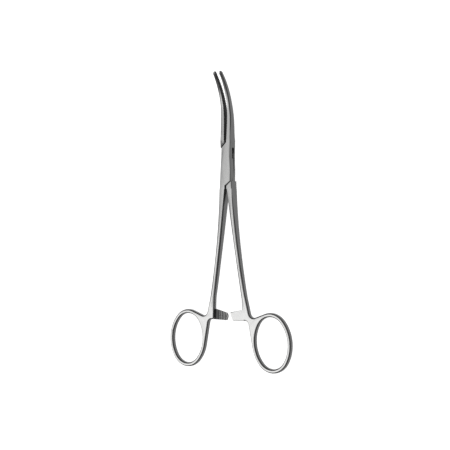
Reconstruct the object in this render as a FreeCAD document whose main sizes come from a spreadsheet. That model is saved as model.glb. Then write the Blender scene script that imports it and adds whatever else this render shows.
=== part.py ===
import FreeCAD, Part
import math
import os
import re
import Sketcher
from FreeCAD import Placement, Rotation, Vector

# Curved box-lock hemostat. Each arm is one forging: jaw, lock, shank, ratchet bar and finger ring. The slotted
# arm's lock is a box of two walls, and the other arm's flat tenon runs through its slot on a flush rivet.
# +Y is along the jaws, +Z is the face that the tips curve towards, and the pivot is the Z axis. Every arm is
# drawn shut, about its own mid-plane, and is then turned half the resting opening outward.

SIZES = {
    "rest_opening": 3.6,
    "lock_width": 6.8,
    "lock_thickness": 5.4,
    "lock_edge": 0.4,
    "lock_flare": 0.45,
    "flare_top": 5.0,
    "flare_bottom": 4.0,
    "slot_height": 1.9,
    "slot_offset": -0.3,
    "tenon_clearance": 0.06,
    "tenon_neck": 3.0,
    "shoulder_gap": 0.12,
    "upper_shoulder": 10.2,
    "upper_rise": 3.2,
    "lower_shoulder": 9.9,
    "lower_rise": 2.4,
    "pin_diameter": 2.2,
    "pin_clearance": 0.04,
    "jaw_root": 14.5,
    "jaw_straight": 12.0,
    "jaw_bend_radius": 46.5,
    "jaw_bend_angle": 36.7,
    "jaw_relief": 0.4,
    "jaw_tip_gap": 0.04,
    "jaw_width": 2.75,
    "jaw_step": 0.05,
    "jaw_middle_width": 2.05,
    "jaw_tip_width": 1.5,
    "jaw_tip_thickness": 2.15,
    "jaw_corner": 0.85,
    "tip_length": 0.9,
    "tip_width": 0.9,
    "tip_thickness": 1.2,
    "serration_pitch": 1.0,
    "serration_depth": 0.28,
    "serration_mouth": 0.84,
    "shank_relief": 0.3,
    "shank_root": 14.5,
    "shank_end": 84.0,
    "shank_end_centre": 9.95,
    "shank_bow": 0.9,
    "shank_width": 3.9,
    "shank_waist": 0.6,
    "shank_end_width": 3.4,
    "shank_end_thickness": 3.25,
    "shank_corner": 1.0,
    "shoulder_step": 0.3,
    "ring_centre": 28.2,
    "ring_beyond": 12.8,
    "ring_lean": 4.0,
    "ring_half_length": 16.4,
    "ring_half_width": 12.8,
    "ring_end_radius": 11.0,
    "ring_bar": 2.5,
    "ring_thickness": 3.2,
    "ring_round": 1.15,
    "web_top": 78.0,
    "web_crotch": 13.8,
    "crotch_reach": 3.5,
    "heel_reach": 2.2,
    "root_reach": 1.35,
    "web_leave_top": 104.0,
    "web_leave_side": 5.6,
    "ratchet_top": 86.8,
    "ratchet_bottom": 93.2,
    "ratchet_taper": 1.8,
    "ratchet_root": 7.75,
    "ratchet_overlap": 0.9,
    "ratchet_tip_slant": 1.5,
    "ratchet_clearance": 0.06,
    "tooth_pitch": 1.25,
    "tooth_depth": 0.55,
    "tooth_count": 4,
}

doc = FreeCAD.newDocument("hemostat_forceps")
sheet = doc.addObject("Spreadsheet::Sheet", "Sizes")
for row, (alias, size) in enumerate(SIZES.items(), start=1):
    sheet.set(f"A{row}", alias.replace("_", " "))
    sheet.set(f"B{row}", str(size))
    sheet.setAlias(f"B{row}", alias)
doc.recompute()

ALIASES = re.compile(r"\b(" + "|".join(SIZES) + r")\b")
NEAR = 1e-6
ACROSS = Vector(1, 0, 0)
UP = Vector(0, 0, 1)


def bound(text):
    """The expression, with each size read from the sheet."""
    return ALIASES.sub(r"Sizes.\1", text)


def value(text):
    """What an expression is worth now, as a number."""
    found = sheet.evalExpression(text)
    return float(getattr(found, "Value", found))


def share(first, last, part):
    """A size that runs evenly from first to last, at a part of the way."""
    return f"(({first}) + (({last}) - ({first})) * ({part}))"


def attach(thing, support, mode, base=(), angle="", axis=UP):
    """Set a sketch or frame on its support, moved by base and turned by angle."""
    thing.AttachmentSupport = [(support, "")]
    thing.MapMode = mode
    spot = Vector(*[value(text) for text in base]) if base else Vector()
    turn = Rotation(axis, value(angle)) if angle else Rotation()
    thing.AttachmentOffset = Placement(spot, turn)
    for letter, text in zip("xyz", base):
        thing.setExpression(f"AttachmentOffset.Base.{letter}", bound(text))
    if angle:
        thing.setExpression("AttachmentOffset.Rotation.Angle", bound(angle))


def arc_middle(start, end, radius):
    """The middle of the arc that leaves start to the right of the chord, or to its left if radius is negative."""
    chord = end - start
    half = chord.Length / 2
    height = abs(radius) - math.sqrt(radius * radius - half * half)
    outward = Vector(chord.y, -chord.x, 0).normalize()
    return (start + end) / 2 + outward * math.copysign(height, radius)


def outline(sketch, points, flip=(1, 1)):
    """A closed outline. Each point is (x, y) or (x, y, radius of the edge that leaves it), as expressions."""
    spots = [Vector(value(point[0]), value(point[1]), 0) for point in points]
    ends = spots[1:] + spots[:1]
    mirror = [Vector(spot.x * flip[0], spot.y * flip[1], 0) for spot in spots]
    mirror_ends = mirror[1:] + mirror[:1]
    first = sketch.GeometryCount
    places = []
    for index, point in enumerate(points):
        if len(point) == 3:
            middle = arc_middle(spots[index], ends[index], value(point[2]))
            middle = Vector(middle.x * flip[0], middle.y * flip[1], 0)
            begin, finish = mirror[index], mirror_ends[index]
            if (middle - begin).cross(finish - middle).z < 0:
                begin, finish = finish, begin
            edge = Part.Arc(begin, middle, finish)
        else:
            edge = Part.LineSegment(mirror[index], mirror_ends[index])
        added = sketch.addGeometry(edge, False)
        drawn = sketch.Geometry[added].StartPoint
        places.append((1, 2) if drawn.distanceToPoint(mirror[index]) < 1e-6 else (2, 1))
    for index, point in enumerate(points):
        here, following = first + index, first + (index + 1) % len(points)
        begin, finish = places[index]
        follow = places[(index + 1) % len(points)][0]
        sketch.addConstraint(Sketcher.Constraint("Coincident", here, finish, following, follow))
        for kind, text, sign, spot in (
            ("DistanceX", point[0], flip[0], mirror[index].x),
            ("DistanceY", point[1], flip[1], mirror[index].y),
        ):
            number = sketch.addConstraint(Sketcher.Constraint(kind, -1, 1, here, begin, spot))
            sketch.setExpression(f"Constraints[{number}]", bound(text if sign > 0 else f"-({text})"))
        if len(point) == 3:
            number = sketch.addConstraint(Sketcher.Constraint("Radius", here, abs(value(point[2]))))
            sketch.setExpression(f"Constraints[{number}]", bound(f"abs({point[2]})"))


def new_sketch(body, name, support, mode, points, base=(), angle="", axis=UP, flip=(1, 1)):
    sketch = body.newObject("Sketcher::SketchObject", name)
    attach(sketch, support, mode, base, angle, axis)
    outline(sketch, points, flip)
    doc.recompute()
    return sketch


def pad(body, name, sketch, length, side_type="Symmetric", is_reversed=False):
    feature = body.newObject("PartDesign::Pad", name)
    feature.Profile = sketch
    feature.SideType = side_type
    feature.Length = value(length)
    feature.setExpression("Length", bound(length))
    feature.Reversed = is_reversed
    doc.recompute()
    return feature


def pocket(body, name, sketch, length):
    """A cut to both sides of the sketch. A cut that removes nothing is an error."""
    before = body.Shape.Volume
    feature = body.newObject("PartDesign::Pocket", name)
    feature.Profile = sketch
    feature.SideType = "Symmetric"
    feature.Length = value(length)
    feature.setExpression("Length", bound(length))
    doc.recompute()
    if feature.Shape.Volume >= before:
        raise RuntimeError(f"{name} cuts nothing")
    return feature


def loft(body, name, sections, ruled=False):
    feature = body.newObject("PartDesign::AdditiveLoft", name)
    feature.Profile = sections[0]
    feature.Sections = sections[1:]
    feature.Ruled = ruled
    doc.recompute()
    return feature


def dress(body, name, kind, base, chosen, size):
    """Chamfer or fillet the edges of base that chosen picks."""
    names = [f"Edge{number}" for number, edge in enumerate(base.Shape.Edges, start=1) if chosen(edge)]
    feature = body.newObject(kind, name)
    feature.Base = (base, names)
    attribute = "Radius" if kind.endswith("Fillet") else "Size"
    setattr(feature, attribute, value(size))
    feature.setExpression(attribute, bound(size))
    doc.recompute()
    return feature


def at_levels(levels, below):
    """Picks the level edges at these heights above or below the mid-plane that reach below this Y."""

    def is_chosen(edge):
        box = edge.BoundBox
        is_level = box.ZLength < NEAR and any(abs(abs(box.ZMax) - level) < NEAR for level in levels)
        return is_level and box.YMin < below - NEAR

    return is_chosen


def planes(body):
    return {plane.Role: plane for plane in body.Origin.OriginFeatures}


def eased_corner(outer, half, corner, outward, upward):
    """The three points of a corner that is eased by two flats, from its flat face to its side."""
    inset = f"({corner}) * (1 - cos(45))"
    points = []
    for back, down in ((corner, "0"), (inset, inset), ("0", corner)):
        across = f"({outer}) - {outward} * ({back})"
        height = f"{upward} * (({half}) - ({down}))"
        points.append((across, height))
    return points


def bar_section(inner, outer, half, corner, is_flat_inside):
    """A forged bar's section, eased outside, and inside too unless that side is a flat gripping face."""
    points = eased_corner(outer, half, corner, 1, -1)
    points += eased_corner(outer, half, corner, 1, 1)[::-1]
    if is_flat_inside:
        return points + [(inner, half), (inner, f"-({half})")]
    points += eased_corner(inner, half, corner, -1, 1)
    return points + eased_corner(inner, half, corner, -1, -1)[::-1]


# The shank is lofted from the lock to the web. It bows a little towards the centre line, has a slight waist, and
# thins quickly below the lock.

SHANK_STATIONS = (0, 0.25, 0.5, 0.75, 1)


def shank_sides(station):
    """The inner and outer side of the shank at a part of the way from its root to its end."""
    straight = share("(shank_relief + shank_width / 2)", "shank_end_centre", station)
    centre = f"({straight} - 4 * shank_bow * ({station}) * (1 - ({station})))"
    width = f"{share('shank_width', 'shank_end_width', station)} - 4 * shank_waist * ({station}) * (1 - ({station}))"
    half_width = f"(({width}) / 2)"
    return f"({centre} - {half_width})", f"({centre} + {half_width})"


def shank(body, side):
    sections = []
    for number, station in enumerate(SHANK_STATIONS):
        inner, outer = shank_sides(station)
        half = f"{share('lock_thickness', 'shank_end_thickness', 1 - (1 - station) ** 1.5)} / 2"
        corner = share("lock_edge", "shank_corner", min(1, 3 * station))
        points = bar_section(inner, outer, half, corner, False)
        place = ("0", "0", share("shank_root", "shank_end", station))
        name = f"ShankSection{number}"
        plane = planes(body)["XZ_Plane"]
        sections.append(new_sketch(body, name, plane, "FlatFace", points, place, flip=(side, 1)))
    return loft(body, "Shank", sections)


# The finger ring is an oval bar of four arcs that leans out at the bottom. The web joins it to the shank's end
# and to the ratchet's root. Both are one flat outline with eased edges.

SIDE_CENTRE = (
    "(((ring_half_length - ring_end_radius)^2 + ring_half_width^2 - ring_end_radius^2)"
    " / (2 * (ring_half_width - ring_end_radius)) - ring_half_width)"
)
END_CENTRE = "(ring_half_length - ring_end_radius)"


def ring_spot(x, y):
    """A place given from the leaning ring's centre."""
    across = f"(ring_centre + ({x}) * cos(ring_lean) - ({y}) * sin(ring_lean))"
    along = f"(-ratchet_bottom - ring_beyond + ({x}) * sin(ring_lean) + ({y}) * cos(ring_lean))"
    return across, along


def oval(offset):
    """Radii of the oval's sides and ends at this distance outside the bar's centre line, and where they meet."""
    side_radius = f"({SIDE_CENTRE} + ring_half_width + {offset})"
    end_radius = f"(ring_end_radius + {offset})"
    gap = f"({side_radius} - {end_radius})"
    across = f"({side_radius} * {SIDE_CENTRE} / {gap} - {SIDE_CENTRE})"
    along = f"({side_radius} * {END_CENTRE} / {gap})"
    return side_radius, end_radius, across, along


def handle_outline():
    """From the shank's end down the ratchet's root, round the ring, and back up the crotch beside it."""
    side_radius, end_radius, across, along = oval("ring_bar / 2")
    inner_top, outer_top = shank_sides("((web_top - shank_root) / (shank_end - shank_root))")
    side_leave = ring_spot(
        f"{SIDE_CENTRE} - {side_radius} * cos(web_leave_side)",
        f"-{side_radius} * sin(web_leave_side)",
    )
    top_leave = ring_spot(
        f"{end_radius} * cos(web_leave_top)",
        f"{END_CENTRE} + {end_radius} * sin(web_leave_top)",
    )
    heel_slant = "(web_leave_side + ring_lean)"
    heel = f"({side_leave[0]} + (ratchet_bottom + {side_leave[1]}) * tan({heel_slant}))"
    crotch_lean = "(web_leave_top + ring_lean)"
    crotch = f"({top_leave[1]} + ({top_leave[0]} - web_crotch) / tan({crotch_lean}))"
    crotch_slant = f"(atan((web_crotch - {outer_top}) / (-web_top - {crotch})) / 1deg)"
    return [
        (f"({inner_top} + 0.2)", "-web_top"),
        ("ratchet_root", "-ratchet_bottom + root_reach", "root_reach"),
        ("ratchet_root + root_reach", "-ratchet_bottom"),
        (f"{heel} - heel_reach", "-ratchet_bottom", f"-heel_reach / tan(45 - {heel_slant} / 2)"),
        (f"{heel} + heel_reach * sin({heel_slant})", f"-ratchet_bottom - heel_reach * cos({heel_slant})"),
        (*side_leave, side_radius),
        (*ring_spot(f"-{across}", f"-{along}"), end_radius),
        (*ring_spot(across, f"-{along}"), side_radius),
        (*ring_spot(across, along), end_radius),
        top_leave,
        (
            f"web_crotch + crotch_reach * sin({crotch_lean})",
            f"{crotch} - crotch_reach * cos({crotch_lean})",
            f"-crotch_reach / tan(({crotch_lean} - {crotch_slant}) / 2)",
        ),
        (
            f"web_crotch - crotch_reach * sin({crotch_slant})",
            f"{crotch} + crotch_reach * cos({crotch_slant})",
        ),
        (outer_top, "-web_top"),
    ]


def finger_hole():
    side_radius, end_radius, across, along = oval("(-ring_bar / 2)")
    return [
        (*ring_spot(across, f"-{along}"), side_radius),
        (*ring_spot(across, along), end_radius),
        (*ring_spot(f"-{across}", along), side_radius),
        (*ring_spot(f"-{across}", f"-{along}"), end_radius),
    ]


def finger_ring(body, side):
    """The ring and the web in one piece, with all edges eased by three flats."""
    sketch = body.newObject("Sketcher::SketchObject", "HandleOutline")
    attach(sketch, planes(body)["XY_Plane"], "FlatFace")
    outline(sketch, handle_outline(), (side, 1))
    outline(sketch, finger_hole(), (side, 1))
    doc.recompute()
    ring = pad(body, "Handle", sketch, "ring_thickness")
    top = value("ring_thickness / 2")
    end = value("-web_top")
    facet = "ring_round * (1 - tan(22.5))"
    step = "ring_round * (tan(22.5) - tan(11.25))"
    faceted = dress(body, "HandleFacets", "PartDesign::Chamfer", ring, at_levels([top], end), facet)
    levels = [top, top - value(facet)]
    return dress(body, "HandleRounding", "PartDesign::Chamfer", faceted, at_levels(levels, end), step)


# The jaw starts at the lock's end and bends out of the rings' plane on one arc. Its flat gripping face leans in
# from the root, so that the tips meet first.

SIDE = "(lock_width / 2)"
JAW_STATIONS = (0, 0.28, 0.55, 0.8, 1)
JAW_REACH = "(jaw_straight + jaw_bend_radius * sin(jaw_bend_angle))"
JAW_LEAN = f"asin((jaw_relief - jaw_tip_gap) / {JAW_REACH})"
JAW_LENGTH = "(jaw_straight + jaw_bend_radius * jaw_bend_angle * pi / 180)"


def jaw_section(body, frame, name, side, angle, extra, width, thickness, corner):
    """A section at an angle round the bend, and extra beyond it along the jaw."""
    along = f"(jaw_straight + jaw_bend_radius * sin({angle}) + ({extra}) * cos({angle}))"
    rise = f"(jaw_bend_radius * (1 - cos({angle})) + ({extra}) * sin({angle}))"
    points = bar_section("0", width, f"({thickness}) / 2", corner, True)
    place = ("0", rise, f"-{along}")
    return new_sketch(body, name, frame, "ObjectXZ", points, place, angle, ACROSS, (side, 1))


def jaw(body, side):
    frame = body.newObject("PartDesign::CoordinateSystem", "JawFrame")
    place = (f"{side} * jaw_relief", "jaw_root", "0")
    attach(frame, planes(body)["XY_Plane"], "FlatFace", place, f"{side} * {JAW_LEAN}")
    doc.recompute()
    widths = ("jaw_width", share("jaw_width", "jaw_middle_width", 0.7), "jaw_middle_width")
    widths += (share("jaw_middle_width", "jaw_tip_width", 0.4), "jaw_tip_width")
    root = (f"{SIDE} - jaw_relief - jaw_step", "lock_thickness - jaw_step", "lock_edge")
    sections = [jaw_section(body, frame, "JawRoot", side, "0", "-jaw_straight - jaw_step * 8", *root)]
    passed = f"(jaw_straight / 2 / {JAW_LENGTH})"
    root_thickness = share("lock_thickness - jaw_step", "jaw_tip_thickness", f"1 - (1 - {passed})^1.3")
    root = ("jaw_width", root_thickness, share("lock_edge", "jaw_corner", "0.5"))
    sections.append(jaw_section(body, frame, "JawStraight", side, "0", "-jaw_straight / 2", *root))
    for number, station in enumerate(JAW_STATIONS):
        angle = f"(jaw_bend_angle * {station})"
        passed = f"((jaw_straight + jaw_bend_radius * {angle} * pi / 180) / {JAW_LENGTH})"
        thickness = share("lock_thickness - jaw_step", "jaw_tip_thickness", f"1 - (1 - {passed})^1.3")
        name = f"JawSection{number}"
        width = widths[number]
        sections.append(jaw_section(body, frame, name, side, angle, "0", width, thickness, "jaw_corner"))
    loft(body, "Jaw", sections)
    point = ("tip_width", "tip_thickness", "tip_width * 0.4")
    end = jaw_section(body, frame, "TipSection", side, "jaw_bend_angle", "tip_length", *point)
    loft(body, "JawTip", [sections[-1], end], ruled=True)
    return frame


def serrations(body, frame, side, shift):
    """Grooves across the gripping face: a row along the straight root and a row round the bend."""
    slope = "(serration_mouth / 2 / serration_depth)"
    outside = 0.1
    points = [
        (f"-{outside}", f"{slope} * (serration_depth + {outside})"),
        (f"-{outside}", f"-{slope} * (serration_depth + {outside})"),
        ("serration_depth", "0"),
    ]
    place = ("0", f"jaw_straight - serration_pitch * {shift}", "0")
    sketch = new_sketch(body, "GrooveOutline", frame, "ObjectXY", points, place, flip=(side, 1))
    groove = pocket(body, "Groove", sketch, "lock_thickness + 4")
    centre = body.newObject("Sketcher::SketchObject", "BendCentre")
    attach(centre, frame, "ObjectYZ", ("jaw_straight", "jaw_bend_radius", "0"))
    doc.recompute()
    bend = body.newObject("PartDesign::PolarPattern", "BendSerrations")
    bend.Originals = [groove]
    bend.Axis = (centre, ["N_Axis"])
    bend.Mode = "Spacing"
    step = "serration_pitch / jaw_bend_radius * 180 / pi"
    bend.setExpression("Offset", bound(step))
    bend.setExpression("Occurrences", bound(f"floor(jaw_bend_angle / ({step}))"))
    body.Tip = bend
    doc.recompute()
    root = body.newObject("PartDesign::LinearPattern", "RootSerrations")
    root.Originals = [groove]
    root.Direction = (centre, ["H_Axis"])
    root.Reversed = True
    root.Mode = "Spacing"
    root.setExpression("Offset", bound("serration_pitch"))
    root.setExpression("Occurrences", bound("floor(jaw_straight / serration_pitch)"))
    body.Tip = root
    doc.recompute()


# The ratchet bars are half as thick as the web and pass over each other. Each tooth has its steep wall towards
# its own arm, so that shut rings can't spring apart.


def ratchet(body, side, tip):
    points = [
        ("ratchet_root + 1.5", "-ratchet_top + 0.3"),
        *tip,
        ("ratchet_root + 1.5", "-ratchet_bottom"),
    ]
    place = ("0", "0", f"{side} * ratchet_clearance")
    sketch = new_sketch(body, "RatchetOutline", planes(body)["XY_Plane"], "FlatFace", points, place, flip=(side, 1))
    pad(body, "Ratchet", sketch, "ring_thickness / 2 - ratchet_clearance", "One side", side < 0)
    crest = "ratchet_tip_slant - ratchet_overlap"
    points = [
        (crest, "ratchet_clearance - 0.2"),
        (f"{crest} + tooth_pitch", "ratchet_clearance - 0.2"),
        (f"{crest} + tooth_pitch", "ratchet_clearance"),
        (crest, "ratchet_clearance + tooth_depth"),
    ]
    place = ("0", "0", "(ratchet_top + ratchet_bottom) / 2")
    sketch = new_sketch(body, "ToothOutline", planes(body)["XZ_Plane"], "FlatFace", points, place, flip=(side, side))
    gap = pocket(body, "ToothGap", sketch, "ratchet_bottom - ratchet_top + 4")
    row = body.newObject("PartDesign::LinearPattern", "ToothRow")
    row.Originals = [gap]
    row.Direction = (sketch, ["H_Axis"])
    row.Reversed = side < 0
    row.Mode = "Spacing"
    row.setExpression("Offset", bound("tooth_pitch"))
    row.setExpression("Occurrences", bound("tooth_count"))
    body.Tip = row
    doc.recompute()


def square_tip():
    return [
        ("-ratchet_overlap + 0.2", "-ratchet_top - ratchet_taper"),
        ("-ratchet_overlap - 0.5", "-(ratchet_top + ratchet_bottom) / 2 - 0.6"),
        ("-ratchet_overlap + 0.2", "-ratchet_bottom"),
    ]


def slanted_tip():
    return [
        ("-ratchet_overlap + 0.1", "-ratchet_top - ratchet_taper * 0.75"),
        ("-ratchet_overlap + 0.4", "-ratchet_top - ratchet_taper - 0.6"),
        ("ratchet_tip_slant - ratchet_overlap + 0.3", "-ratchet_bottom"),
    ]


# Outlines of the lock. The jaw roots and shank roots are as thick as the lock, and the shoulders between them
# and the box's walls run at a slant.

FLARED_SIDE = f"({SIDE} + lock_flare)"
SHANK_SIDE = "(shank_relief + shank_width)"


def box_outline():
    """Both walls of the box, with the right jaw's root and the left shank's root."""
    return [
        (f"-{SIDE}", "upper_shoulder"),
        (f"-{SIDE}", "flare_top"),
        (f"-{FLARED_SIDE}", "-flare_bottom"),
        (f"-{SHANK_SIDE}", "-shank_root"),
        ("-shank_relief", "-shank_root"),
        ("-shank_relief", "-lower_shoulder - lower_rise"),
        (FLARED_SIDE, "-lower_shoulder"),
        (FLARED_SIDE, "-flare_bottom"),
        (SIDE, "flare_top"),
        (SIDE, "jaw_root"),
        ("jaw_relief", "jaw_root"),
        ("jaw_relief", "upper_shoulder + upper_rise"),
    ]


def slot_outline():
    """The slot is open at both sides, and its ends slant as the shoulders do."""
    beyond = 3
    upper = f"(upper_rise / ({SIDE} - jaw_relief))"
    lower = f"(lower_rise / ({SIDE} - shank_relief))"
    return [
        (f"{SIDE} + {beyond}", f"upper_shoulder - {beyond} * {upper}"),
        (f"-{SIDE} - {beyond}", f"upper_shoulder + (lock_width + {beyond}) * {upper}"),
        (f"-{SIDE} - {beyond}", f"-lower_shoulder + {beyond} * {lower}"),
        (f"{SIDE} + {beyond}", f"-lower_shoulder - (lock_width + {beyond}) * {lower}"),
    ]


def shank_root_outline():
    """The tenon arm's right shank root, up to its shoulder under the box."""
    return [
        ("shank_relief", "-shank_root"),
        (SHANK_SIDE, "-shank_root"),
        (f"{FLARED_SIDE} + shoulder_step", "-lower_shoulder - shoulder_gap"),
        (FLARED_SIDE, "-lower_shoulder - shoulder_gap"),
        ("shank_relief", "-lower_shoulder - lower_rise - shoulder_gap"),
    ]


def jaw_root_outline():
    """The tenon arm's left jaw root, drawn on the right: it is turned over by the sketch."""
    return [
        ("jaw_relief", "jaw_root"),
        (f"{SIDE}", "jaw_root"),
        (f"{SIDE}", "upper_shoulder + shoulder_gap"),
        ("jaw_relief", "upper_shoulder + upper_rise + shoulder_gap"),
    ]


def tenon_outline():
    """The tenon crosses from the left jaw's root to the right shank's root."""
    return [
        (f"-{SIDE}", "upper_shoulder + 0.6"),
        (f"-{SIDE}", "-tenon_neck"),
        ("shank_relief + 0.2", "-lower_shoulder - lower_rise - 0.6"),
        (SIDE, "-lower_shoulder - 0.6"),
        (SIDE, "tenon_neck"),
        ("-jaw_relief - 0.2", "upper_shoulder + upper_rise + 0.4"),
    ]


def ease_lock(body, name, base):
    """Chamfer the long outer edges of a piece of the lock, on both faces."""
    level = value("lock_thickness") / 2

    def is_outer(edge):
        box = edge.BoundBox
        is_level = box.ZLength < 1e-6 and abs(abs(box.ZMax) - level) < 1e-6
        is_beside = min(abs(box.XMin), abs(box.XMax)) > value(SIDE) - 1e-6 and box.XMin * box.XMax > 0
        return is_level and is_beside and box.YMin > -value("shank_root") - 1e-6

    return dress(body, name, "PartDesign::Chamfer", base, is_outer, "lock_edge")


def pivot_hole(body, name, diameter):
    sketch = body.newObject("Sketcher::SketchObject", name + "Outline")
    attach(sketch, planes(body)["XY_Plane"], "FlatFace")
    sketch.addGeometry(Part.Circle(Vector(), UP, value(diameter) / 2), False)
    sketch.addConstraint(Sketcher.Constraint("Coincident", 0, 3, -1, 1))
    number = sketch.addConstraint(Sketcher.Constraint("Diameter", 0, value(diameter)))
    sketch.setExpression(f"Constraints[{number}]", bound(diameter))
    doc.recompute()
    return pocket(body, name, sketch, "lock_thickness + 2")


def place_arm(body, turn):
    """Turn the arm outward by half the resting opening, and lift it onto the lock's underside."""
    body.Placement = Placement(Vector(0, 0, value("lock_thickness") / 2), Rotation(UP, value(turn)))
    body.setExpression("Placement.Base.z", bound("lock_thickness / 2"))
    body.setExpression("Placement.Rotation.Angle", bound(turn))


def new_body(name):
    """A body whose first features may stand apart until a later one joins them."""
    body = doc.addObject("PartDesign::Body", name)
    body.AllowCompound = True
    doc.recompute()
    return body


def box_arm():
    """The slotted arm: left ring and shank, the box, and the right jaw."""
    body = new_body("box_arm")
    flat = planes(body)["XY_Plane"]
    finger_ring(body, -1)
    sketch = new_sketch(body, "BoxOutline", flat, "FlatFace", box_outline())
    box = pad(body, "Box", sketch, "lock_thickness")
    ease_lock(body, "BoxEdges", box)
    shank(body, -1)
    sketch = new_sketch(body, "SlotOutline", flat, "FlatFace", slot_outline(), ("0", "0", "slot_offset"))
    pocket(body, "Slot", sketch, "slot_height")
    frame = jaw(body, 1)
    serrations(body, frame, 1, 0)
    ratchet(body, -1, square_tip())
    pivot_hole(body, "RivetHole", "pin_diameter")
    place_arm(body, "-rest_opening / 2")
    return body


def tenon_arm():
    """The arm that passes through the slot: right ring and shank, the tenon, and the left jaw."""
    body = new_body("tenon_arm")
    flat = planes(body)["XY_Plane"]
    finger_ring(body, 1)
    sketch = new_sketch(body, "ShankRootOutline", flat, "FlatFace", shank_root_outline())
    root = pad(body, "ShankRoot", sketch, "lock_thickness")
    ease_lock(body, "ShankRootEdges", root)
    sketch = new_sketch(body, "JawRootOutline", flat, "FlatFace", jaw_root_outline(), flip=(-1, 1))
    root = pad(body, "JawRootPad", sketch, "lock_thickness")
    ease_lock(body, "JawRootEdges", root)
    shank(body, 1)
    middle = ("0", "0", "slot_offset")
    sketch = new_sketch(body, "TenonOutline", flat, "FlatFace", tenon_outline(), middle)
    pad(body, "Tenon", sketch, "slot_height - 2 * tenon_clearance")
    frame = jaw(body, -1)
    serrations(body, frame, -1, 0.5)
    ratchet(body, 1, slanted_tip())
    pivot_hole(body, "PivotHole", "pin_diameter + 2 * pin_clearance")
    place_arm(body, "rest_opening / 2")
    return body


def pivot_pin():
    """The rivet, ground flush with both faces of the box."""
    body = new_body("pivot_pin")
    sketch = body.newObject("Sketcher::SketchObject", "RivetOutline")
    attach(sketch, planes(body)["XY_Plane"], "FlatFace")
    sketch.addGeometry(Part.Circle(Vector(), UP, value("pin_diameter") / 2), False)
    sketch.addConstraint(Sketcher.Constraint("Coincident", 0, 3, -1, 1))
    number = sketch.addConstraint(Sketcher.Constraint("Diameter", 0, value("pin_diameter")))
    sketch.setExpression(f"Constraints[{number}]", bound("pin_diameter"))
    doc.recompute()
    pad(body, "Rivet", sketch, "lock_thickness")
    place_arm(body, "0")
    return body


pieces = [box_arm(), tenon_arm(), pivot_pin()]
doc.recompute()

for thing in doc.Objects:
    if "Invalid" in thing.State or "Error" in thing.State:
        raise RuntimeError(f"{thing.Name} failed: {thing.State}")
for piece in pieces:
    if piece.Shape.isNull() or not piece.Shape.isValid() or len(piece.Shape.Solids) != 1:
        raise RuntimeError(f"{piece.Label} isn't one valid solid")

os.makedirs("parts", exist_ok=True)
for piece in pieces:
    piece.Shape.exportStep(f"parts/{piece.Label}.step")
    print(piece.Label, round(piece.Shape.Volume, 2), piece.Shape.BoundBox)
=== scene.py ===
import math

import bmesh
import bpy
from mathutils import Matrix, Vector


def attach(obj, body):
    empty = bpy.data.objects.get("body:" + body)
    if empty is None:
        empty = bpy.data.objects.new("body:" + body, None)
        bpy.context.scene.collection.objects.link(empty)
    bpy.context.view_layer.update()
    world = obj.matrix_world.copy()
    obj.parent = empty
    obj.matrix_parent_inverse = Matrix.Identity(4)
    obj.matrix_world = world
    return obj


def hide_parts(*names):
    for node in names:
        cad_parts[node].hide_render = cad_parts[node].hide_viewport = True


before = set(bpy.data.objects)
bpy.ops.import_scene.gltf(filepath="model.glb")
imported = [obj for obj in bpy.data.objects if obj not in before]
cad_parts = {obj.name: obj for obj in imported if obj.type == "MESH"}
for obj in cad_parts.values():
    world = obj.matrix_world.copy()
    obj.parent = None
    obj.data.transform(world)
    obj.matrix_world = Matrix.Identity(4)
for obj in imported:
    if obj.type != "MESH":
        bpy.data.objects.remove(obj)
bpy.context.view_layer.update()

# The camera looks down on the forceps, which lie on a pale table with their tips curving up. It stands well off
# to the slotted jaw's side, so that both the wide faces and the right-hand sides of the bars are seen.

VIEW_ANGLE = math.radians(38)
VIEW_ROLL = math.radians(-0.45)
VIEW_DISTANCE = 0.708
FRAME_WIDTH = 0.270
AIM = Vector((-0.0026, -0.036, 0.0027))

camera_data = bpy.data.cameras.new("camera")
camera_data.lens = camera_data.sensor_width * VIEW_DISTANCE / FRAME_WIDTH
camera = bpy.data.objects.new("camera", camera_data)
bpy.context.collection.objects.link(camera)
turn = Matrix.Rotation(VIEW_ANGLE, 4, "Y") @ Matrix.Rotation(VIEW_ROLL, 4, "Z")
back = turn @ Vector((0, 0, VIEW_DISTANCE))
camera.matrix_world = Matrix.Translation(AIM + back) @ turn
bpy.context.scene.camera = camera

# The two arms are drop forgings of stainless steel, one with a slot that the other's tenon is threaded through,
# ground and brushed to a satin finish once the lock is fitted. The bars' sides are painted darker than the wide
# faces, as painted shade. The ratchet teeth and the serrated gripping faces are milled and rougher than the rest,
# and their colour is darkened as painted shade of the teeth and grooves.

STEEL_COLOUR = (0.66, 0.66, 0.655, 1)
# The next colour is painted shade for the bars' sides. It fades into the steel colour as a face turns up or down.
SIDE_PAINTED_SHADE = (0.13, 0.13, 0.13, 1)
SIDE_TO_FLAT = (0.92, 0.995)
# The next colour is painted shade for the milled teeth and grooves. Their greater roughness is real.
MILLED_PAINTED_SHADE = (0.03, 0.03, 0.03, 1)
STEEL_ROUGHNESS = 0.22
ROUGHNESS_SPREAD = 0.05
MILLED_ROUGHNESS = 0.5
BLOTCHES_PER_METRE = 300
GRAIN_PER_METRE = (2500, 120, 2500)
GRAIN_DEPTH = 0.00005
GRAIN_STRENGTH = 0.12


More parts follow.
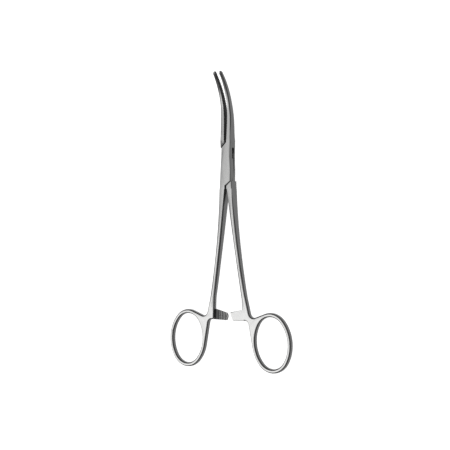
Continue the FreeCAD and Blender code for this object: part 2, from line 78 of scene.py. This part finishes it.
def satin_steel(name):
    """Brushed steel, darker on its sides as painted shade; milled faces are rougher and painted darker as shade."""
    material = bpy.data.materials.new(name)
    material.use_nodes = True
    nodes, links = material.node_tree.nodes, material.node_tree.links
    shader = nodes["Principled BSDF"]
    shader.inputs["Metallic"].default_value = 1
    geometry = nodes.new("ShaderNodeNewGeometry")
    facing = nodes.new("ShaderNodeSeparateXYZ")
    upright = nodes.new("ShaderNodeMath")
    upright.operation = "ABSOLUTE"
    flatness = nodes.new("ShaderNodeMapRange")
    flatness.inputs["From Min"].default_value = SIDE_TO_FLAT[0]
    flatness.inputs["From Max"].default_value = SIDE_TO_FLAT[1]
    # Painted shade: the base colour darkens on faces that turn to the side.
    painted_side_shade = nodes.new("ShaderNodeMix")
    painted_side_shade.data_type = "RGBA"
    painted_side_shade.inputs["A"].default_value = SIDE_PAINTED_SHADE
    painted_side_shade.inputs["B"].default_value = STEEL_COLOUR
    milled_and_shaded = nodes.new("ShaderNodeAttribute")
    milled_and_shaded.attribute_name = "milled_and_shaded"
    # Painted shade: milled faces are darkened for the shade of their teeth and grooves.
    dulled_and_shaded = nodes.new("ShaderNodeMix")
    dulled_and_shaded.data_type = "RGBA"
    dulled_and_shaded.inputs["B"].default_value = MILLED_PAINTED_SHADE
    links.new(geometry.outputs["Normal"], facing.inputs["Vector"])
    links.new(facing.outputs["Z"], upright.inputs[0])
    links.new(upright.outputs["Value"], flatness.inputs["Value"])
    links.new(flatness.outputs["Result"], painted_side_shade.inputs["Factor"])
    links.new(painted_side_shade.outputs["Result"], dulled_and_shaded.inputs["A"])
    links.new(milled_and_shaded.outputs["Fac"], dulled_and_shaded.inputs["Factor"])
    links.new(dulled_and_shaded.outputs["Result"], shader.inputs["Base Color"])
    place = nodes.new("ShaderNodeTexCoord")
    blotches = nodes.new("ShaderNodeTexNoise")
    blotches.inputs["Scale"].default_value = BLOTCHES_PER_METRE
    blotches.inputs["Detail"].default_value = 2
    gloss = nodes.new("ShaderNodeMapRange")
    gloss.inputs["To Min"].default_value = STEEL_ROUGHNESS - ROUGHNESS_SPREAD
    gloss.inputs["To Max"].default_value = STEEL_ROUGHNESS + ROUGHNESS_SPREAD
    rough = nodes.new("ShaderNodeMix")
    rough.inputs["B"].default_value = MILLED_ROUGHNESS
    links.new(place.outputs["Object"], blotches.inputs["Vector"])
    links.new(blotches.outputs["Fac"], gloss.inputs["Value"])
    links.new(milled_and_shaded.outputs["Fac"], rough.inputs["Factor"])
    links.new(gloss.outputs["Result"], rough.inputs["A"])
    links.new(rough.outputs["Result"], shader.inputs["Roughness"])
    stretch = nodes.new("ShaderNodeMapping")
    stretch.inputs["Scale"].default_value = GRAIN_PER_METRE
    grain = nodes.new("ShaderNodeTexNoise")
    grain.inputs["Scale"].default_value = 1
    grain.inputs["Detail"].default_value = 3
    bump = nodes.new("ShaderNodeBump")
    bump.inputs["Strength"].default_value = GRAIN_STRENGTH
    bump.inputs["Distance"].default_value = GRAIN_DEPTH
    links.new(place.outputs["Object"], stretch.inputs["Vector"])
    links.new(stretch.outputs["Vector"], grain.inputs["Vector"])
    links.new(grain.outputs["Fac"], bump.inputs["Height"])
    links.new(bump.outputs["Normal"], shader.inputs["Normal"])
    return material


JAW_START = 0.0145
LOCK_MIDDLE = 0.0027
RATCHET_BAND = (-0.0945, -0.0855)
RATCHET_REACH = 0.0109
TOOTH_DEPTH = 0.0009
SHOULDER_BAND = (0.011, 0.0175)
# These amounts set how rough milled faces are, and also how dark they are painted as shade of the grooves and teeth.
GRIP_DULLNESS_AND_SHADE = 1.0
RAMP_DULLNESS_AND_SHADE = 0.35
LEVEL_DULLNESS_AND_SHADE = 0.85
FACES_ALONG = 0.8
FACES_GRIP = 0.7
FACES_UP = 0.97


def on_ratchet_bar(spot):
    return RATCHET_BAND[0] < spot.y < RATCHET_BAND[1] and abs(spot.x) < RATCHET_REACH


def dullness_and_shade(face, inward):
    """How rough milling leaves a face, and how dark it is painted as shade of the grooves and teeth: most on the
    jaw's gripping face, less on the ratchet, not at all elsewhere.
    inward is the way that the jaw grips along X, and also the way that the arm's teeth lie from the lock's middle."""
    centre = face.calc_center_median()
    if centre.y > JAW_START:
        return GRIP_DULLNESS_AND_SHADE if face.normal.x * inward > FACES_GRIP else 0.0
    depth = (centre.z - LOCK_MIDDLE) * inward
    if not on_ratchet_bar(centre) or not 0 < depth < TOOTH_DEPTH or abs(face.normal.y) >= FACES_ALONG:
        return 0.0
    return LEVEL_DULLNESS_AND_SHADE if abs(face.normal.z) > FACES_UP else RAMP_DULLNESS_AND_SHADE


CREST_FLAT = 0.00015
CREST_ANGLE = math.radians(40)
EASED_CORNER = 0.0004
CORNER_ANGLE = math.radians(60)
SHOULDER_SLANT = 0.3
LEVEL = 1e-6


def is_crest(edge, inward):
    """Whether an edge is the level crest of a ratchet tooth, between a ramp and its steep wall."""
    start, end = (vert.co for vert in edge.verts)
    if abs(start.z - end.z) > LEVEL:
        return False
    between = len(edge.link_faces) == 2 and all(0 < dullness_and_shade(face, inward) < 1 for face in edge.link_faces)
    return between and edge.calc_face_angle_signed(0) > CREST_ANGLE


def is_square_corner(edge, inward):
    """Whether an edge is a square corner of the lock's slanting shoulders, or of the ratchet bar away from its
    teeth."""
    start, end = (vert.co for vert in edge.verts)
    middle, along = (start + end) / 2, end - start
    slanting = abs(along.z) < LEVEL and min(abs(along.x), abs(along.y)) > SHOULDER_SLANT * along.length
    on_shoulder = slanting and SHOULDER_BAND[0] < abs(middle.y) < SHOULDER_BAND[1]
    if not on_shoulder and not on_ratchet_bar(middle):
        return False
    between = len(edge.link_faces) == 2 and not any(dullness_and_shade(face, inward) for face in edge.link_faces)
    return between and edge.calc_face_angle_signed(0) > CORNER_ANGLE


def ease_edges(shape, inward):
    """Grind a level land on each tooth's crest and round the square corners. The lands are given back."""
    crests = [edge for edge in shape.edges if is_crest(edge, inward)]
    ground = bmesh.ops.bevel(
        shape, geom=crests, offset=CREST_FLAT, segments=1, affect="EDGES", clamp_overlap=True
    )
    lands = ground["faces"]
    for face in lands:
        level = max((vert.co.z for vert in face.verts), key=lambda height: -inward * height)
        for vert in face.verts:
            vert.co.z = level
    corners = [edge for edge in shape.edges if is_square_corner(edge, inward)]
    bmesh.ops.bevel(
        shape, geom=corners, offset=EASED_CORNER, segments=3, affect="EDGES", clamp_overlap=False
    )
    return lands


def put_in_order(parts, place):
    """Sort verts or faces by place, so that each run gives them the same order."""
    rank = {part: index for index, part in enumerate(sorted(parts, key=place))}
    parts.sort(key=rank.get)
    parts.index_update()


def crowned_normals(shape):
    """A normal for each corner of each face. The faces that meet there without a sharp edge are averaged by the
    root of their area, so that a ground flat shades as slightly crowned towards its eased edges."""
    found = {}
    for vert in shape.verts:
        left = set(vert.link_faces)
        while left:
            fan = [left.pop()]
            for face in fan:
                for edge in face.edges:
                    if edge.smooth and vert in edge.verts:
                        joined = [other for other in edge.link_faces if other in left]
                        left.difference_update(joined)
                        fan.extend(joined)
            fan.sort(key=lambda face: face.index)
            total = sum((face.normal * math.sqrt(face.calc_area()) for face in fan), Vector())
            found.update({(vert.index, face.index): total.normalized() for face in fan})
    return [found[loop.vert.index, face.index] for face in shape.faces for loop in face.loops]


SAME_POINT = 2e-6
SAME_PLANE = math.radians(0.5)
SHARP_FORGED = math.radians(50)
SHARP_MILLED = math.radians(12)


def forging(name, node, body, material, inward=0):
    """A smooth copy of a CAD node: its triangles are merged, and its eased corners shade as round ones. inward is
    the way that the arm's jaw grips along X, or 0 for a piece with no milled faces."""
    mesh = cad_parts[node].data.copy()
    mesh.name = name
    shape = bmesh.new()
    shape.from_mesh(mesh)
    milled_and_shaded = shape.faces.layers.float.new("milled_and_shaded")
    bmesh.ops.remove_doubles(shape, verts=shape.verts, dist=SAME_POINT)
    bmesh.ops.dissolve_limit(shape, angle_limit=SAME_PLANE, verts=shape.verts, edges=shape.edges)
    lands = ease_edges(shape, inward) if inward else []
    for face in shape.faces:
        face.smooth = True
        # The mark on milled faces sets both their roughness and their painted shade.
        face[milled_and_shaded] = dullness_and_shade(face, inward) if inward and face not in lands else 0.0
    bmesh.ops.remove_doubles(shape, verts=shape.verts, dist=SAME_POINT)
    put_in_order(shape.verts, lambda vert: tuple(vert.co))
    put_in_order(shape.faces, lambda face: sorted(vert.index for vert in face.verts))
    for edge in shape.edges:
        by_mill = any(face[milled_and_shaded] for face in edge.link_faces)
        edge.smooth = edge.calc_face_angle(math.pi) < (SHARP_MILLED if by_mill else SHARP_FORGED)
    normals = crowned_normals(shape)
    shape.to_mesh(mesh)
    shape.free()
    mesh.normals_split_custom_set(normals)
    mesh.materials.clear()
    mesh.materials.append(material)
    piece = bpy.data.objects.new(name, mesh)
    bpy.context.collection.objects.link(piece)
    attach(piece, body)
    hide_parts(node)


steel = satin_steel("satin steel")
forging("slotted_half", "box_arm", "box_half", steel, -1)
forging("tenon_half_forging", "tenon_arm", "tenon_half", steel, 1)

# The rivet is a plain steel pin through both walls of the slotted half and the tenon between them. It is ground
# flush and brushed with the walls, so that its ends all but vanish.

rivet_steel = satin_steel("rivet steel")
forging("lock_rivet", "pivot_pin", "box_half", rivet_steel)

# The table is a wide sheet of matt white paper, just under the forceps. It shows white in the view and in the
# steel, and keeps the forceps' shadow.

TABLE_SIZE = 3.0
TABLE_DROP = 0.0002
PAPER_COLOUR = (0.7, 0.7, 0.7, 1)
PAPER_ROUGHNESS = 0.9
TABLE_GLOW = 0.92

half = TABLE_SIZE / 2
table_mesh = bpy.data.meshes.new("table")
table_mesh.from_pydata(
    [(x * half, y * half, -TABLE_DROP) for x, y in ((-1, -1), (1, -1), (1, 1), (-1, 1))], [], [(0, 1, 2, 3)]
)
table = bpy.data.objects.new("table", table_mesh)
bpy.context.collection.objects.link(table)
paper = bpy.data.materials.new("white table")
paper.use_nodes = True
nodes, links = paper.node_tree.nodes, paper.node_tree.links
matt = nodes["Principled BSDF"]
matt.inputs["Base Color"].default_value = PAPER_COLOUR
matt.inputs["Roughness"].default_value = PAPER_ROUGHNESS
matt.inputs["Specular IOR Level"].default_value = 0
ray = nodes.new("ShaderNodeLightPath")
in_view_or_steel = nodes.new("ShaderNodeMath")
in_view_or_steel.operation = "MAXIMUM"
seen = nodes.new("ShaderNodeMath")
seen.operation = "MAXIMUM"
glow = nodes.new("ShaderNodeMath")
glow.operation = "MULTIPLY"
glow.inputs[1].default_value = TABLE_GLOW
emission = nodes.new("ShaderNodeEmission")
lit = nodes.new("ShaderNodeAddShader")
links.new(ray.outputs["Is Camera Ray"], in_view_or_steel.inputs[0])
links.new(ray.outputs["Is Glossy Ray"], in_view_or_steel.inputs[1])
links.new(in_view_or_steel.outputs["Value"], seen.inputs[0])
links.new(ray.outputs["Is Transmission Ray"], seen.inputs[1])
links.new(seen.outputs["Value"], glow.inputs[0])
links.new(glow.outputs["Value"], emission.inputs["Strength"])
links.new(matt.outputs["BSDF"], lit.inputs[0])
links.new(emission.outputs["Emission"], lit.inputs[1])
links.new(lit.outputs["Shader"], nodes["Material Output"].inputs["Surface"])
table_mesh.materials.append(paper)

# The studio is bright overhead and dims towards the horizon. One large soft box at the upper left lights the wide
# faces, and more so towards the rings.

KEY_PLACE = Vector((-0.62, -0.42, 0.79))
KEY_AIM = Vector((0, -0.08, 0))
KEY_SIZE = (0.7, 0.6)
KEY_POWER = 0.85

key = bpy.data.lights.new("key", "AREA")
key.shape = "RECTANGLE"
key.size, key.size_y = KEY_SIZE
key.energy = KEY_POWER
lamp = bpy.data.objects.new("key", key)
bpy.context.collection.objects.link(lamp)
turn = (KEY_AIM - KEY_PLACE).to_track_quat("-Z", "Y").to_matrix().to_4x4()
lamp.matrix_world = Matrix.Translation(KEY_PLACE) @ turn

BRIGHT_SIDE = Vector((-0.2, -0.1, 0.97)).normalized()
FADE = (0.45, 1.0)
DIM_AND_BRIGHT = (0.26, 0.72)

world = bpy.data.worlds.new("studio")
bpy.context.scene.world = world
world.use_nodes = True
nodes, links = world.node_tree.nodes, world.node_tree.links
direction = nodes.new("ShaderNodeTexCoord")
aside = nodes.new("ShaderNodeVectorMath")
aside.operation = "DOT_PRODUCT"
aside.inputs[1].default_value = BRIGHT_SIDE
fade = nodes.new("ShaderNodeMapRange")
fade.interpolation_type = "SMOOTHSTEP"
fade.inputs["From Min"].default_value, fade.inputs["From Max"].default_value = FADE
fade.inputs["To Min"].default_value, fade.inputs["To Max"].default_value = DIM_AND_BRIGHT
links.new(direction.outputs["Generated"], aside.inputs[0])
links.new(aside.outputs["Value"], fade.inputs["Value"])
links.new(fade.outputs["Result"], nodes["Background"].inputs["Color"])
nodes["Background"].inputs["Strength"].default_value = 1
bpy.context.scene.view_settings.view_transform = "Standard"
